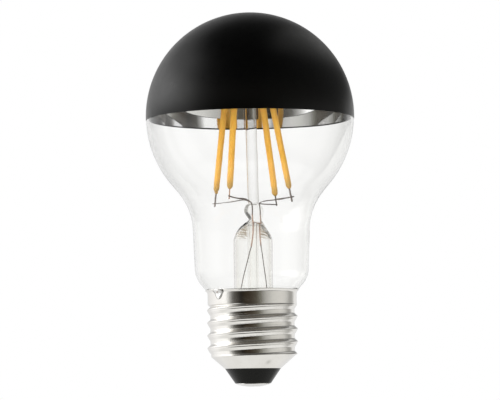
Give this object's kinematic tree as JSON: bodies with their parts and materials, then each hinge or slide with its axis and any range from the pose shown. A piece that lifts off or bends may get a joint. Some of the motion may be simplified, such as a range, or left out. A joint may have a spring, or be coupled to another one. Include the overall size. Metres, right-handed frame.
{
  "type": "led filament bulb",
  "caption": "Clear glass LED filament bulb with screw cap, black coated dome with mirror inside, and yellow filaments round a glass rod.",
  "frame": {"origin": "lowest point of the centre contact, on the lamp axis", "axes": "+Z along the lamp axis from the cap to the glass dome; -Y is the side that the picture shows, +X its right"},
  "size_m": [0.0602, 0.0602, 0.1078],
  "materials": {
    "clear_glass": "clear blown glass, smooth",
    "stem_glass": "clear pressed and drawn glass, slightly grey",
    "black_coat": "matt black lacquer",
    "mirror_coat": "bright metal mirror seen through the glass",
    "nickel_sheet": "bright nickel plate",
    "cement": "dull pale cement",
    "solder": "bright tin solder",
    "black_insulator": "satin black insulator",
    "contact_metal": "bright tinned metal",
    "nickel_wire": "drawn nickel wire, slightly dark",
    "copper_wire": "copper-coated wire, dulled",
    "phosphor": "matt yellow-orange phosphor",
    "filament_tab": "thin metal strip, darkened",
    "board": "green circuit board",
    "black_package": "moulded black package",
    "capacitor_can": "sleeved can",
    "coil_winding": "dark ferrite and winding",
    "resistor_coat": "dull pale coating"
  },
  "bodies": {
    "root": {"black_dome_coat": "black_coat", "branch_wire_left": "nickel_wire", "branch_wire_right": "nickel_wire", "bridge_rectifier": "black_package", "cap_cement": "cement", "cap_shell": "nickel_sheet", "centre_contact": "contact_metal", "centre_rod": "stem_glass", "contact_solder": "solder", "driver_board": "board", "driver_chip": "black_package", "drum_coil": "coil_winding", "exhaust_tube": "stem_glass", "filament_back_left": "phosphor", "filament_back_right": "phosphor", "filament_front_left": "phosphor", "filament_front_right": "phosphor", "foot_tab_back_left": "filament_tab", "foot_tab_back_right": "filament_tab", "foot_tab_front_left": "filament_tab", "foot_tab_front_right": "filament_tab", "fuse_resistor": "resistor_coat", "glass_envelope": "clear_glass", "head_tab_back_left": "filament_tab", "head_tab_back_right": "filament_tab", "head_tab_front_left": "filament_tab", "head_tab_front_right": "filament_tab", "insulator": "black_insulator", "lead_wire_left": "nickel_wire", "lead_wire_right": "nickel_wire", "link_wire_back": "nickel_wire", "link_wire_front": "nickel_wire", "live_wire": "copper_wire", "mirror_dome_coat": "mirror_coat", "outer_lead_left": "copper_wire", "outer_lead_right": "copper_wire", "seal_wire_left": "copper_wire", "seal_wire_right": "copper_wire", "side_solder": "solder", "side_wire": "copper_wire", "smoothing_capacitor": "capacitor_can", "stem_flare": "stem_glass"}
  },
  "joints": []
}
